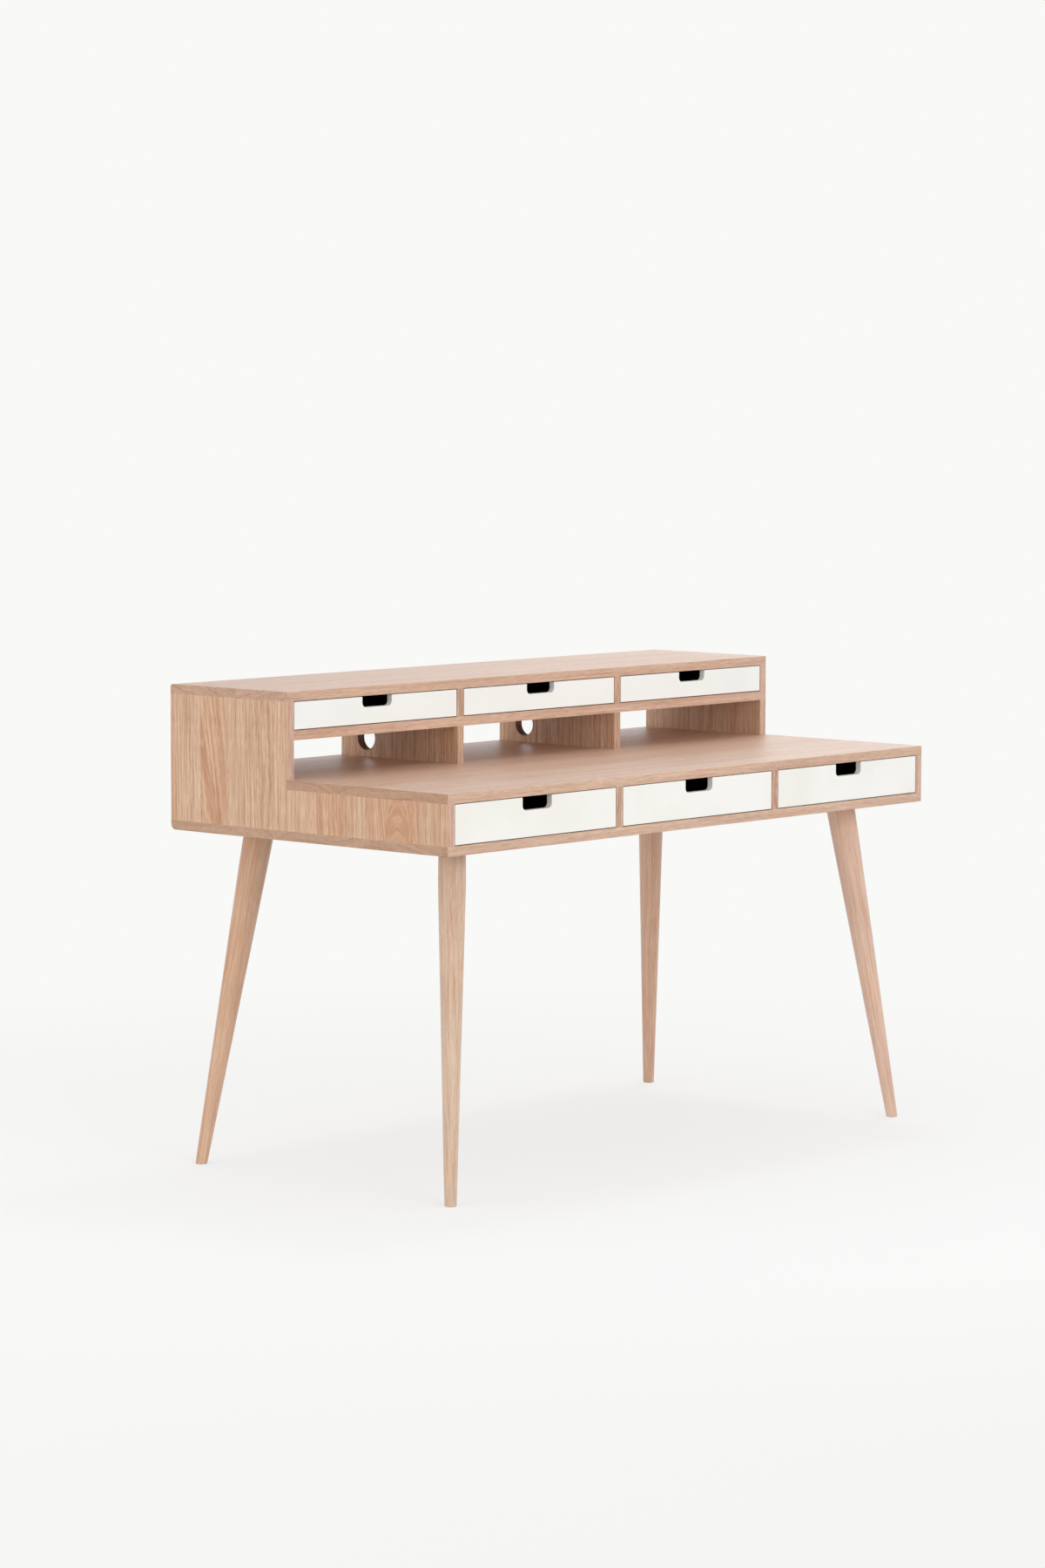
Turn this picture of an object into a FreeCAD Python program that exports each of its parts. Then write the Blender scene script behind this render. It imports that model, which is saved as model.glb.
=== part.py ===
import FreeCAD, Part
import os
import re

# A writing desk with a raised gallery (hutch) along its back, in millimetres.
# The origin is on the floor under the middle of the desk: +X to the right, +Y to the rear, +Z up.

# Driving dimensions
SIZES = {
    # whole desk
    "width": 1400,
    "depth": 708,
    "hutch_depth": 307,
    "leg_height": 638,
    "board": 18,
    "back_board": 12,
    # clear heights between the boards
    "drawer_bay": 76,
    "pigeonhole": 72,
    "hutch_bay": 54,
    # edges of the boards
    "edge_ease": 1,
    "rear_low_round": 12,
    "rear_top_round": 6,
    "ear_bite": 3,
    # cable holes in the lower hutch dividers
    "cable_hole": 46,
    "cable_hole_setback": 67,
    # drawer fronts and their finger notches
    "front_thick": 12,
    "front_gap": 1.5,
    "notch_width": 80,
    "notch_depth_lower": 24,
    "notch_depth_upper": 20,
    "notch_round": 9,
    # drawer boxes
    "wall_thick": 12,
    "wall_gap": 2,
    "wall_rise": 3,
    "wall_headroom": 7,
    "housing": 4,
    "panel_thick": 5,
    "panel_raise": 7,
    "back_inset": 12,
    "drawer_tail": 20,
    # runners and their screws
    "runner_height": 10,
    "runner_reach": 8,
    "runner_play": 0.5,
    "runner_setback": 40,
    "runner_tail": 10,
    "screw_dia": 3.5,
    "screw_head": 6.5,
    "screw_length": 18,
    "screw_play": 0.1,
    "screw_inset": 40,
    "screw_stagger": 16,
    # dowels between the boards
    "dowel_dia": 8,
    "dowel_play": 0.1,
    "dowel_room": 1,
    "dowel_cover": 6,
    "dowel_deep": 20,
    "dowel_inset": 30,
    "divider_dowel_inset": 15,
    "dowel_stagger": 25,
    # legs, splayed outwards along both axes and slightly oval along the splay
    "foot_inset_x": 43,
    "foot_inset_y": 32.5,
    "splay_x": 85,
    "splay_y": 75,
    "leg_foot": 22.5,
    "foot_round": 1.5,
    "shoulder_drop": 66,
    "leg_shoulder": 51,
    "leg_shoulder_oval": 4.2,
    "leg_top": 50,
    "leg_top_oval": 8,
    # hanger bolts and threaded inserts that hold the legs
    "bolt_dia": 8,
    "bolt_sink": 45,
    "bolt_room": 3,
    "thread_play": 0.1,
    "insert_dia": 12,
    "insert_recess": 1.5,
    "insert_cover": 4,
    "insert_room": 0.5,
}

doc = FreeCAD.newDocument("writing_desk")
sheet = doc.addObject("Spreadsheet::Sheet", "Sizes")
for row, (alias, value) in enumerate(SIZES.items(), start=1):
    sheet.set(f"A{row}", str(value))
    sheet.setAlias(f"A{row}", alias)
doc.recompute()

# Levels and places that follow from the driving dimensions
LEFT = "(-width / 2)"
FRONT = "(-depth / 2)"
REAR = "(depth / 2)"
HUTCH_FRONT = "(depth / 2 - hutch_depth)"
CASE_FLOOR = "(leg_height + board)"
DESK_UNDER = f"({CASE_FLOOR} + drawer_bay)"
DESK_TOP = f"({DESK_UNDER} + board)"
SHELF_UNDER = f"({DESK_TOP} + pigeonhole)"
SHELF_TOP = f"({SHELF_UNDER} + board)"
TOP_UNDER = f"({SHELF_TOP} + hutch_bay)"
INNER_LEFT = f"({LEFT} + board)"
INNER_WIDTH = "(width - 2 * board)"
LOW_DEPTH = "(depth - hutch_depth)"
BAY = "((width - 4 * board) / 3)"
BAY_NAMES = ("left", "middle", "right")
MIDDLE_BAY_INDEX = 1
CORNERS = {"front_left": (-1, -1), "front_right": (1, -1), "rear_left": (-1, 1), "rear_right": (1, 1)}

# Largest share of a wall that a round may take, on one of its edges or on both
ONE_EDGE_SHARE = 0.9
BOTH_EDGES_SHARE = 0.45
ON_FACE = 1e-6

# Turns that lay a rod or a cone, drawn along +Z, along another axis
TURN = {
    "x": FreeCAD.Rotation(FreeCAD.Vector(0, 1, 0), 90),
    "-x": FreeCAD.Rotation(FreeCAD.Vector(0, 1, 0), -90),
    "z": FreeCAD.Rotation(),
}


def bay_left(bay):
    """Left end of a drawer bay, counted from the left."""
    return f"({INNER_LEFT} + {bay} * ({BAY} + board))"


def formula(text):
    """Point each size that an expression names at its cell in the sheet."""
    return re.sub(r"[a-z_]+", lambda word: f"Sizes.{word[0]}" if word[0] in SIZES else word[0], text)


def bind(item, formulas):
    """Tie properties of an object to expressions on the sheet."""
    for name, text in formulas.items():
        item.setExpression(name, formula(text))
    return item


def place(item, base):
    """Tie an object's base point to expressions."""
    return bind(item, {f"Placement.Base.{axis}": text for axis, text in zip("xyz", base)})


def block(name, x, y, z):
    """A box, from its start and its length along each axis."""
    item = doc.addObject("Part::Box", name)
    bind(item, {"Length": x[1], "Width": y[1], "Height": z[1]})
    return place(item, (x[0], y[0], z[0]))


def rod(name, diameter, length, base, axis):
    """A round rod that starts at its base point and runs along an axis."""
    item = doc.addObject("Part::Cylinder", name)
    item.Placement = FreeCAD.Placement(FreeCAD.Vector(), TURN[axis])
    bind(item, {"Radius": f"({diameter}) / 2", "Height": length})
    return place(item, base)


def fused(name, pieces):
    """One solid from pieces that meet."""
    item = doc.addObject("Part::MultiFuse", name)
    item.Shapes = pieces
    item.Refine = True
    return item


def cut(name, base, tools):
    """A piece with every tool taken out of it."""
    item = doc.addObject("Part::Cut", name)
    item.Base = base
    item.Tool = tools[0] if len(tools) == 1 else fused(f"{name}_tools", tools)
    return item


def group(name, pieces):
    """Like pieces that stay separate solids in one node."""
    item = doc.addObject("Part::Compound", name)
    item.Links = pieces
    return item


def rounded(name, base, radii):
    """Round the edges that lie on both faces named in a key, to the size or limit named for it."""
    doc.recompute()
    box = base.Shape.BoundBox
    faces = {
        "front": (1, box.YMin), "rear": (1, box.YMax), "under": (2, box.ZMin), "upper": (2, box.ZMax),
        "left": (0, box.XMin), "right": (0, box.XMax),
    }
    edges = []
    for (first, second), radius in radii.items():
        for number, edge in enumerate(base.Shape.Edges, start=1):
            ends = [vertex.Point for vertex in edge.Vertexes]
            levels = (faces[first], faces[second])
            if all(abs(end[i] - level) < ON_FACE for end in ends for i, level in levels):
                edges.append((number, radius, radius))
    item = doc.addObject("Part::Fillet", name)
    item.Base = base
    item.Edges = edges
    return item


def size(name):
    """A driving dimension as a plain number."""
    return float(sheet.get(name))


def spread(start, length, inset, count):
    """Evenly spaced places along a length, the first and last one inset from its ends."""
    return [f"({start} + {inset} + {k} * ({length} - 2 * {inset}) / {count - 1})" for k in range(count)]


# Boards before drilling, by the name of their node
blanks = {}

# Bottom panel: runs under the sides, with its lower rear edge rounded
blanks["bottom_panel"] = rounded(
    "bottom_panel_blank",
    block("bottom_panel_block", (LEFT, "width"), (FRONT, "depth"), ("leg_height", "board")),
    {
        ("rear", "under"): min(size("rear_low_round"), size("board") - size("edge_ease")),
        ("front", "under"): size("edge_ease"),
    },
)

# Sides: L-shaped, tall at the hutch, with a round-cornered bite for the end of the desktop's ear
SIDE_START = {"left": LEFT, "right": "(width / 2 - board)"}
ear_tips = {}
for side, start in SIDE_START.items():
    ear_tips[side] = rounded(
        f"{side}_ear_tip",
        block(
            f"{side}_ear_block",
            (start, "board"),
            (f"{HUTCH_FRONT} - ear_bite", "2 * ear_bite"),
            (DESK_UNDER, "board"),
        ),
        {
            ("rear", edge): min(size("ear_bite"), BOTH_EDGES_SHARE * size("board"))
            for edge in ("under", "upper")
        },
    )
    tall = block(
        f"{side}_side_tall",
        (start, "board"),
        (HUTCH_FRONT, "hutch_depth"),
        (CASE_FLOOR, f"{TOP_UNDER} - {CASE_FLOOR}"),
    )
    low = block(f"{side}_side_low", (start, "board"), (FRONT, LOW_DEPTH), (CASE_FLOOR, "drawer_bay"))
    shape = fused(f"{side}_side_shape", [tall, low])
    blanks[f"{side}_side"] = cut(f"{side}_side_blank", shape, [ear_tips[side]])

# Desktop: full width over the low part of the sides, and between the tall parts behind
desktop_front = rounded(
    "desktop_front",
    block("desktop_front_block", (LEFT, "width"), (FRONT, LOW_DEPTH), (DESK_UNDER, "board")),
    {("front", "upper"): size("edge_ease")},
)
desktop_rear = block(
    "desktop_rear", (INNER_LEFT, INNER_WIDTH), (HUTCH_FRONT, "hutch_depth"), (DESK_UNDER, "board")
)
blanks["desktop"] = fused("desktop_blank", [desktop_front, desktop_rear, *ear_tips.values()])

# Hutch top: laid over the sides, with its upper rear edge rounded
blanks["hutch_top"] = rounded(
    "hutch_top_blank",
    block("hutch_top_block", (LEFT, "width"), (HUTCH_FRONT, "hutch_depth"), (TOP_UNDER, "board")),
    {
        ("rear", "upper"): min(size("rear_top_round"), size("board") - size("edge_ease")),
        ("front", "upper"): size("edge_ease"),
    },
)

# Hutch shelf: one board between the sides
blanks["hutch_shelf"] = block(
    "hutch_shelf_blank", (INNER_LEFT, INNER_WIDTH), (HUTCH_FRONT, "hutch_depth"), (SHELF_UNDER, "board")
)

# Backs: inset between the sides, flush with their rear edges
BACK_X = (INNER_LEFT, INNER_WIDTH)
BACK_Y = (f"{REAR} - back_board", "back_board")
blanks["case_back"] = block("case_back_blank", BACK_X, BACK_Y, (CASE_FLOOR, "drawer_bay"))
blanks["hutch_back"] = block("hutch_back_blank", BACK_X, BACK_Y, (SHELF_TOP, "hutch_bay"))

# Dividers: each stands to the right of the left or the middle bay
DIVIDER_SIDES = {"left": 0, "right": 1}
dividers = {}
for side, bay in DIVIDER_SIDES.items():
    thickness = (f"{bay_left(bay)} + {BAY}", "board")
    dividers[side] = f"({bay_left(bay)} + {BAY} + board / 2)"
    blanks[f"case_divider_{side}"] = block(
        f"case_divider_{side}_blank", thickness, (FRONT, "depth - back_board"), (CASE_FLOOR, "drawer_bay")
    )
    blanks[f"hutch_divider_upper_{side}"] = block(
        f"hutch_divider_upper_{side}_blank",
        thickness,
        (HUTCH_FRONT, "hutch_depth - back_board"),
        (SHELF_TOP, "hutch_bay"),
    )
    blanks[f"hutch_divider_lower_{side}"] = block(
        f"hutch_divider_lower_{side}_blank",
        thickness,
        (HUTCH_FRONT, "hutch_depth"),
        (DESK_TOP, "pigeonhole"),
    )

# Holes to be taken out of each board, gathered while the pieces that sit in them are made
bores = {name: [] for name in blanks}

# Cable holes: round, half way up the lower hutch dividers
for side, bay in DIVIDER_SIDES.items():
    bores[f"hutch_divider_lower_{side}"].append(
        rod(
            f"cable_hole_{side}",
            "cable_hole",
            "board",
            (f"{bay_left(bay)} + {BAY}", f"{REAR} - cable_hole_setback", f"{DESK_TOP} + pigeonhole / 2"),
            "x",
        )
    )

# Dowels: each crosses the face where two boards meet, in a bore with room at both ends
FACE_DEPTH = "(board - dowel_cover)"
END_DEPTH = "dowel_deep"
RISING = (FACE_DEPTH, END_DEPTH)
HANGING = (END_DEPTH, FACE_DEPTH)
LONG_ROW_COUNT = 5
SHORT_ROW_COUNT = 3
PAIR_COUNT = 2
BACK_ROWS = [
    ("case_dowels", "case_back", CASE_FLOOR, "drawer_bay"),
    ("hutch_dowels", "hutch_back", SHELF_TOP, "hutch_bay"),
]
dowels = {"case_dowels": [], "hutch_dowels": []}


def dowel(node, boards, point, axis, before, after):
    """One dowel from before a joint's face to after it along an axis, and its bore in both boards."""
    along = "xyz".index(axis)

    def start(room):
        base = list(point)
        base[along] = f"{point[along]} - {before} - {room}"
        return base

    dowels[node].append(rod("dowel", "dowel_dia", f"{before} + {after}", start(0), axis))
    bore = rod(
        "dowel_bore",
        "dowel_dia + 2 * dowel_play",
        f"{before} + {after} + 2 * dowel_room",
        start("dowel_room"),
        axis,
    )
    for name in boards:
        bores[name].append(bore)


for side, start in SIDE_START.items():
    middle = f"({start} + board / 2)"
    board_name = f"{side}_side"
    for y in spread(FRONT, "depth", "dowel_inset", LONG_ROW_COUNT):
        dowel("case_dowels", ("bottom_panel", board_name), (middle, y, CASE_FLOOR), "z", *RISING)
    for y in spread(FRONT, LOW_DEPTH, "dowel_inset", SHORT_ROW_COUNT):
        dowel("case_dowels", (board_name, "desktop"), (middle, y, DESK_UNDER), "z", *HANGING)
    for y in spread(HUTCH_FRONT, "hutch_depth", "dowel_inset", SHORT_ROW_COUNT):
        dowel("hutch_dowels", (board_name, "hutch_top"), (middle, y, TOP_UNDER), "z", *HANGING)
    # level dowels from the side into the ends of the boards between the sides
    joint, depths = {
        "left": (INNER_LEFT, RISING),
        "right": ("(width / 2 - board)", HANGING),
    }[side]
    for y in spread(HUTCH_FRONT, "hutch_depth", "2 * dowel_inset", PAIR_COUNT):
        desk_point = (joint, y, f"({DESK_UNDER} + board / 2)")
        shelf_point = (joint, y, f"({SHELF_UNDER} + board / 2)")
        dowel("case_dowels", (board_name, "desktop"), desk_point, "x", *depths)
        dowel("hutch_dowels", (board_name, "hutch_shelf"), shelf_point, "x", *depths)
    for node, back_name, floor, height in BACK_ROWS:
        for z in spread(floor, height, f"{height} / 4", PAIR_COUNT):
            back_point = (joint, f"({REAR} - back_board / 2)", z)
            dowel(node, (board_name, back_name), back_point, "x", *depths)

for side, middle in dividers.items():
    case_name = f"case_divider_{side}"
    upper_name = f"hutch_divider_upper_{side}"
    lower_name = f"hutch_divider_lower_{side}"
    for y in spread(FRONT, "(depth - back_board)", "dowel_inset", SHORT_ROW_COUNT):
        dowel("case_dowels", ("bottom_panel", case_name), (middle, y, CASE_FLOOR), "z", *RISING)
        dowel("case_dowels", (case_name, "desktop"), (middle, y, DESK_UNDER), "z", *HANGING)
    for y in spread(HUTCH_FRONT, "hutch_depth", "divider_dowel_inset", PAIR_COUNT):
        dowel("hutch_dowels", ("desktop", lower_name), (middle, y, DESK_TOP), "z", *RISING)
        dowel("hutch_dowels", (lower_name, "hutch_shelf"), (middle, y, SHELF_UNDER), "z", *HANGING)
    for y in spread(HUTCH_FRONT, "hutch_depth", "(divider_dowel_inset + dowel_stagger)", PAIR_COUNT):
        dowel("hutch_dowels", ("hutch_shelf", upper_name), (middle, y, SHELF_TOP), "z", *RISING)
        dowel("hutch_dowels", (upper_name, "hutch_top"), (middle, y, TOP_UNDER), "z", *HANGING)

# Finished pieces by node name, and how many solids each node holds
nodes = {}
solid_counts = {}


def finish(name, item, count=1):
    """Keep an object as a sub-part under its node name."""
    item.Label = name
    nodes[name] = item
    solid_counts[name] = count


# Drawers: a notched front, two grooved walls, a back and a bottom, housed into each other
ROWS = {
    "lower": {"front": FRONT, "floor": CASE_FLOOR, "height": "drawer_bay", "reach": "depth"},
    "upper": {"front": HUTCH_FRONT, "floor": SHELF_TOP, "height": "hutch_bay", "reach": "hutch_depth"},
}
FRONT_EDGES = [("front", "left"), ("front", "right"), ("front", "under"), ("front", "upper")]


def runner_height_at(row):
    """Lower face of the runners of a row, half way up the bay."""
    return f"({row['floor']} + ({row['height']} - runner_height) / 2)"


def drawer(name, row, bay, notch_depth):
    """The five pieces of one drawer, closed, in its bay."""
    left = bay_left(bay)
    front_y = row["front"]
    front_back = f"({front_y} + front_thick)"
    front_z = f"({row['floor']} + front_gap)"
    front_height = f"({row['height']} - 2 * front_gap)"
    wall_z = f"({row['floor']} + wall_rise)"
    wall_height = f"({row['height']} - wall_rise - wall_headroom)"
    wall_end = f"({front_y} + {row['reach']} - back_board - drawer_tail)"
    housed_y = (f"{front_back} - housing", f"{wall_end} - {front_back} + housing")
    wall_x = {"left": f"({left} + wall_gap)", "right": f"({left} + {BAY} - wall_gap - wall_thick)"}
    inner_left = f"({wall_x['left']} + wall_thick)"
    inner_width = f"({BAY} - 2 * wall_gap - 2 * wall_thick)"
    housed_x = (f"{inner_left} - housing", f"{inner_width} + 2 * housing")
    panel_z = f"({wall_z} + panel_raise)"
    panel_top = f"({panel_z} + panel_thick)"
    back_y = f"({wall_end} - back_inset - wall_thick)"

    panel = block(f"{name}_panel", housed_x, housed_y, (panel_z, "panel_thick"))
    back = block(
        f"{name}_back_board", housed_x, (back_y, "wall_thick"),
        (panel_top, f"{wall_z} + {wall_height} - {panel_top}"),
    )
    finish(f"{name}_bottom", panel)
    finish(f"{name}_back", back)

    # walls: a blind-ended groove outside for the runner, housings inside for the bottom and the back
    blank_walls = []
    groove_deep = "(runner_reach + runner_play - wall_gap)"
    groove_x = {
        "left": wall_x["left"],
        "right": f"({wall_x['right']} + wall_thick - {groove_deep})",
    }
    for side in ("left", "right"):
        wall_width = (wall_x[side], "wall_thick")
        wall = block(f"{name}_wall_{side}_board", wall_width, housed_y, (wall_z, wall_height))
        groove = block(
            f"{name}_groove_{side}",
            (groove_x[side], groove_deep),
            (f"{front_y} + runner_setback", f"{wall_end} - {front_y} - runner_setback"),
            (f"{runner_height_at(row)} - runner_play", "runner_height + runner_play"),
        )
        finish(f"{name}_wall_{side}", cut(f"{name}_wall_{side}_cut", wall, [groove, panel, back]))
        blank_walls.append(wall)

    # front: flush with the case, with a finger notch in the middle of its upper edge
    slab = rounded(
        f"{name}_front_slab",
        block(
            f"{name}_front_block",
            (f"{left} + front_gap", f"{BAY} - 2 * front_gap"),
            (front_y, "front_thick"),
            (front_z, front_height),
        ),
        {edge: size("edge_ease") for edge in FRONT_EDGES},
    )
    notch_box = block(
        f"{name}_notch_block",
        (f"{left} + ({BAY} - notch_width) / 2", "notch_width"),
        (front_y, "front_thick"),
        (f"{front_z} + {front_height} - {notch_depth}", f"2 * {notch_depth}"),
    )
    notch_limits = (BOTH_EDGES_SHARE * size("notch_width"), ONE_EDGE_SHARE * size(notch_depth))
    notch_round = min(size("notch_round"), *notch_limits)
    notch_edges = [("left", "under"), ("right", "under")]
    notch = rounded(f"{name}_notch", notch_box, {edge: notch_round for edge in notch_edges})
    finish(f"{name}_front", cut(f"{name}_front_cut", slab, [notch, panel] + blank_walls))


for row_name, row in ROWS.items():
    for bay, bay_name in enumerate(BAY_NAMES):
        drawer(f"{row_name}_drawer_{bay_name}", row, bay, f"notch_depth_{row_name}")

# Runners: hardwood strips on both boards of each bay, held by two countersunk screws each
BAY_BOARDS = {
    "lower": ("left_side", "case_divider_left", "case_divider_right", "right_side"),
    "upper": ("left_side", "hutch_divider_upper_left", "hutch_divider_upper_right", "right_side"),
}


def screw(name, base, axis, play):
    """A countersunk screw with its head at the base point, or its hole with some play all round."""
    head = doc.addObject("Part::Cone", f"{name}_head")
    head.Placement = FreeCAD.Placement(FreeCAD.Vector(), TURN[axis])
    bind(head, {
        "Radius1": f"screw_head / 2 + {play}",
        "Radius2": f"screw_dia / 2 + {play}",
        "Height": "(screw_head - screw_dia) / 2",
    })
    place(head, base)
    shank = rod(f"{name}_shank", f"screw_dia + 2 * {play}", f"screw_length + {play}", base, axis)
    return fused(name, [head, shank])


screws = []
for row_name, row in ROWS.items():
    runners = []
    runner_start = f"({row['front']} + runner_setback)"
    runner_length = f"({row['reach']} - runner_setback - back_board - runner_tail)"
    for bay in range(len(BAY_NAMES)):
        bay_right = f"({bay_left(bay)} + {BAY})"
        left_board, right_board = BAY_BOARDS[row_name][bay:bay + 2]
        seats = {
            "-x": (left_board, bay_left(bay), f"({bay_left(bay)} + runner_reach)"),
            "x": (right_board, f"({bay_right} - runner_reach)", f"({bay_right} - runner_reach)"),
        }
        for axis, (board_name, runner_x, screw_x) in seats.items():
            # screws from both faces of a divider pass each other
            passing = bay != MIDDLE_BAY_INDEX and not board_name.endswith("_side")
            shift = "screw_stagger" if passing else "0"
            strip = block(
                f"{row_name}_runner_strip",
                (runner_x, "runner_reach"),
                (runner_start, runner_length),
                (runner_height_at(row), "runner_height"),
            )
            holes = []
            for y in spread(runner_start, runner_length, "screw_inset", PAIR_COUNT):
                head_at = (screw_x, f"{y} + {shift}", f"{runner_height_at(row)} + runner_height / 2")
                screws.append(screw("runner_screw", head_at, axis, "0"))
                holes.append(screw("runner_screw_hole", head_at, axis, "screw_play"))
            bores[board_name].extend(holes)
            runners.append(cut(f"{row_name}_runner", strip, holes))
    finish(f"{row_name}_runners", group(f"{row_name}_runner_group", runners), len(runners))
finish("runner_screws", group("runner_screw_group", screws), len(screws))

# Legs: level oval sections from the foot to the shoulder and the top, along one splayed axis
LEAN = "atan(sqrt(splay_x ^ 2 + splay_y ^ 2) / leg_height)"
INSERT_RISE = "(board - insert_recess - insert_cover)"


def leg_point(corner, height):
    """Point of a leg's axis at a height, which may be past the leg's top."""
    side_x, side_y = CORNERS[corner]
    return (
        f"{side_x} * (width / 2 - foot_inset_x - splay_x * ({height}) / leg_height)",
        f"{side_y} * (depth / 2 - foot_inset_y - splay_y * ({height}) / leg_height)",
        height,
    )


def turned_about(axis, angle, base):
    """Expression for a placement at a base point, turned by an angle about an axis."""
    return f"placement(vector({'; '.join(base)}); rotation(vector({axis}); {angle}))"


def leg_section(corner, height, width, oval):
    """Level oval section of a leg, longer along the splay than across it."""
    side_x, side_y = CORNERS[corner]
    item = doc.addObject("Part::Ellipse", f"leg_{corner}_section")
    splay_turn = f"{side_x * side_y} * atan(splay_y / splay_x)"
    return bind(item, {
        "MajorRadius": f"({width} + {oval}) / 2",
        "MinorRadius": f"{width} / 2",
        "Placement": turned_about("0; 0; 1", splay_turn, leg_point(corner, height)),
    })


def leg_rod(name, corner, diameter, height, rise):
    """A rod along a leg's axis, over a rise in height."""
    side_x, side_y = CORNERS[corner]
    item = doc.addObject("Part::Cylinder", name)
    lean_axis = f"{side_y} * splay_y; {-side_x} * splay_x; 0"
    return bind(item, {
        "Radius": f"({diameter}) / 2",
        "Height": f"({rise}) / cos({LEAN})",
        "Placement": turned_about(lean_axis, LEAN, leg_point(corner, height)),
    })


bolts = []
inserts = []
for corner in CORNERS:
    taper = doc.addObject("Part::Loft", f"leg_{corner}_taper")
    taper.Sections = [
        leg_section(corner, "0", "leg_foot", "0"),
        leg_section(corner, "(leg_height - shoulder_drop)", "leg_shoulder", "leg_shoulder_oval"),
        leg_section(corner, "leg_height", "leg_top", "leg_top_oval"),
    ]
    taper.Solid = True
    taper.Ruled = True
    shaped = rounded(f"leg_{corner}_shape", taper, {("under", "under"): size("foot_round")})
    bolt_hole = leg_rod(
        f"bolt_hole_{corner}",
        corner,
        "bolt_dia + 2 * thread_play",
        "leg_height - bolt_sink - bolt_room",
        "bolt_sink + bolt_room + board",
    )
    finish(f"leg_{corner}", cut(f"leg_{corner}_cut", shaped, [bolt_hole]))
    bolts.append(
        leg_rod(
            f"bolt_{corner}",
            corner,
            "bolt_dia",
            "leg_height - bolt_sink",
            f"bolt_sink + insert_recess + {INSERT_RISE}",
        )
    )
    sleeve = leg_rod(f"insert_{corner}", corner, "insert_dia", "leg_height + insert_recess", INSERT_RISE)
    inserts.append(cut(f"insert_{corner}_cut", sleeve, [bolt_hole]))
    bores["bottom_panel"].append(
        leg_rod(
            f"insert_bore_{corner}",
            corner,
            "insert_dia + 2 * thread_play",
            "leg_height - insert_dia / 2",
            f"insert_dia / 2 + insert_recess + {INSERT_RISE} + insert_room",
        )
    )
finish("leg_bolts", group("leg_bolt_group", bolts), len(bolts))
finish("leg_inserts", group("leg_insert_group", inserts), len(inserts))

# Boards with all their holes, and the dowels
for name, blank in blanks.items():
    finish(name, cut(f"{name}_drilled", blank, bores[name]) if bores[name] else blank)
for name, pins in dowels.items():
    finish(name, group(f"{name}_group", pins), len(pins))

doc.recompute()
failed = [item.Label for item in doc.Objects if {"Invalid", "Error"} & set(item.State)]
if failed:
    raise RuntimeError(f"objects failed: {failed}")
for name, item in nodes.items():
    shape = item.Shape
    if shape.isNull() or not shape.isValid() or len(shape.Solids) != solid_counts[name]:
        raise RuntimeError(f"{name} is not {solid_counts[name]} sound solid(s)")

os.makedirs("parts", exist_ok=True)
for name, item in nodes.items():
    item.Shape.exportStep(f"parts/{name}.step")
print(f"{len(nodes)} nodes, {sum(solid_counts.values())} solids")
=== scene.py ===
import math

import bpy
from mathutils import Euler, Matrix, Vector


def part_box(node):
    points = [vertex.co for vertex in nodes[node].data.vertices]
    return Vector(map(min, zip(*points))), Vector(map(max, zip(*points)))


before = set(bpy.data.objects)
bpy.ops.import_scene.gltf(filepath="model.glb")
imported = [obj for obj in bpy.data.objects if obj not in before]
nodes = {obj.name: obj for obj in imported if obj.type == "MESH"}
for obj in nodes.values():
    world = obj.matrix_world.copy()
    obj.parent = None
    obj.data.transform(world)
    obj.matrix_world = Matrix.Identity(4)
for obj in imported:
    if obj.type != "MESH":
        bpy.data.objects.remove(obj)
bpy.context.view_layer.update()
scene = bpy.context.scene
scene.view_settings.view_transform = "Standard"

# Camera: a long lens nearly nine metres from the desk's middle, a little above its top, that looks over
# the left front corner. Its place and turn were fitted to the corners of the boards and to the four feet.
CAMERA_PLACE = (-6.5302, -5.7391, 1.5154)
CAMERA_YAW = math.radians(48.229)
CAMERA_PITCH = math.radians(5.372)
CAMERA_ROLL = math.radians(0.126)
CAMERA_LENS = 103.197

lens = bpy.data.cameras.new("camera")
lens.lens = CAMERA_LENS
camera = bpy.data.objects.new("camera", lens)
camera.location = CAMERA_PLACE
level_turn = Euler((math.pi / 2 - CAMERA_PITCH, 0, -CAMERA_YAW)).to_matrix()
camera.rotation_euler = (level_turn @ Matrix.Rotation(CAMERA_ROLL, 3, "Z")).to_euler()
scene.collection.objects.link(camera)
scene.camera = camera


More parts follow.
